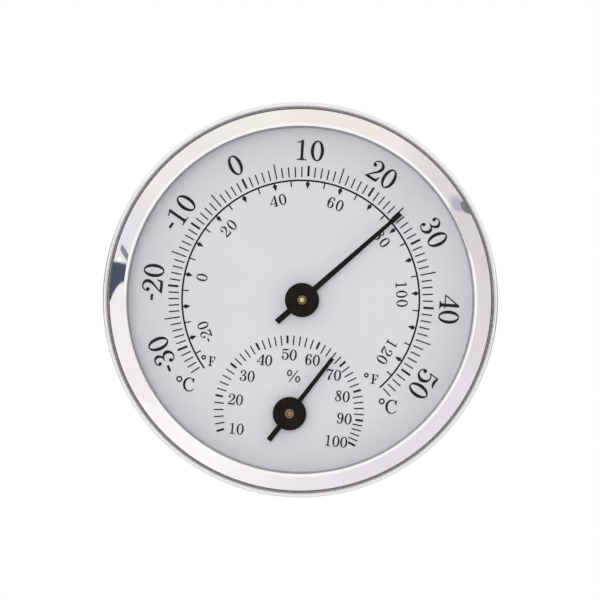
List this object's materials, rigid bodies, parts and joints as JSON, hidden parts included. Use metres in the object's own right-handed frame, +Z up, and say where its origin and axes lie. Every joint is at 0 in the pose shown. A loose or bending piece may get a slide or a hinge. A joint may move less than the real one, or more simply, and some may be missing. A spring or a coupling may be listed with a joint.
{
  "type": "dial thermo-hygrometer",
  "caption": "Round wall and desk instrument with a polished bezel, a flat lens, a temperature dial and a small humidity dial with black pointers.",
  "frame": {"origin": "centre of the flat rear face, on the case's axis, where it lies against a wall", "axes": "+Z up, +Y from the dial towards the wall, +X to the right as the dial is read"},
  "size_m": [0.101, 0.022, 0.101],
  "materials": {
    "bezel_chrome": "bright chrome plating on moulded plastic",
    "lens_clear": "clear, polished",
    "gasket_rubber": "matte foam rubber",
    "spacer_white": "satin white moulding",
    "case_white": "fine spark texture, white moulding",
    "dial_face": "matte pale grey lacquer with black print",
    "plate_steel": "zinc plated sheet",
    "frame_steel": "stamped, nickel plated",
    "fastener_steel": "plain steel",
    "black_paint": "matte black",
    "brass": "turned brass",
    "coil_bimetal": "rolled bimetal strip",
    "coil_hygroscopic": "coated laminate strip"
  },
  "bodies": {
    "case": {"bezel_ring": "bezel_chrome", "dial_plate": "dial_face", "humidity_frame": "frame_steel", "humidity_frame_screw_1": "fastener_steel", "humidity_frame_screw_2": "fastener_steel", "humidity_front_bush": "brass", "humidity_rear_bush": "brass", "lens": "lens_clear", "lens_gasket": "gasket_rubber", "movement_plate": "plate_steel", "plate_screw_1": "fastener_steel", "plate_screw_2": "fastener_steel", "plate_screw_3": "fastener_steel", "plate_screw_4": "fastener_steel", "rear_case": "case_white", "spacer_ring": "spacer_white", "stand_pin": "fastener_steel", "temperature_frame": "frame_steel", "temperature_frame_screw_1": "fastener_steel", "temperature_frame_screw_2": "fastener_steel", "temperature_front_bush": "brass", "temperature_rear_bush": "brass"},
    "temperature_regulator": {"temperature_regulator": "brass", "temperature_coil_rivet": "brass", "temperature_coil": "coil_bimetal"},
    "temperature_pointer": {"temperature_collet": "brass", "temperature_arbor": "brass", "temperature_pointer_boss": "brass", "temperature_pointer": "black_paint"},
    "humidity_regulator": {"humidity_regulator": "brass", "humidity_coil_rivet": "brass", "humidity_coil": "coil_hygroscopic"},
    "humidity_pointer": {"humidity_collet": "brass", "humidity_arbor": "brass", "humidity_pointer_boss": "brass", "humidity_pointer": "black_paint"},
    "stand_leg": {"stand_leg": "case_white"}
  },
  "joints": [
    {"name": "stand_hinge", "type": "hinge", "parent": "case", "child": "stand_leg", "pos_m": [0, -0.0016, -0.008], "axis": [1, 0, 0], "range_deg": [0, 45]},
    {"name": "temperature_zero_setting", "type": "hinge", "parent": "case", "child": "temperature_regulator", "pos_m": [0.0004, 0, 0], "axis": [0, 1, 0], "range_deg": [-10, 10]},
    {"name": "temperature_reading", "type": "hinge", "parent": "temperature_regulator", "child": "temperature_pointer", "pos_m": [0.0004, 0, 0], "axis": [0, 1, 0], "range_deg": [-172, 88.5], "stiffness_Nm_per_rad": 0.0005, "deforming": ["temperature_coil"]},
    {"name": "humidity_zero_setting", "type": "hinge", "parent": "case", "child": "humidity_regulator", "pos_m": [0.0004, 0, -0.0293], "axis": [0, 1, 0], "range_deg": [-10, 10]},
    {"name": "humidity_reading", "type": "hinge", "parent": "humidity_regulator", "child": "humidity_pointer", "pos_m": [0.0004, 0, -0.0293], "axis": [0, 1, 0], "range_deg": [-143.5, 80], "stiffness_Nm_per_rad": 0.0005, "deforming": ["humidity_coil"]}
  ]
}
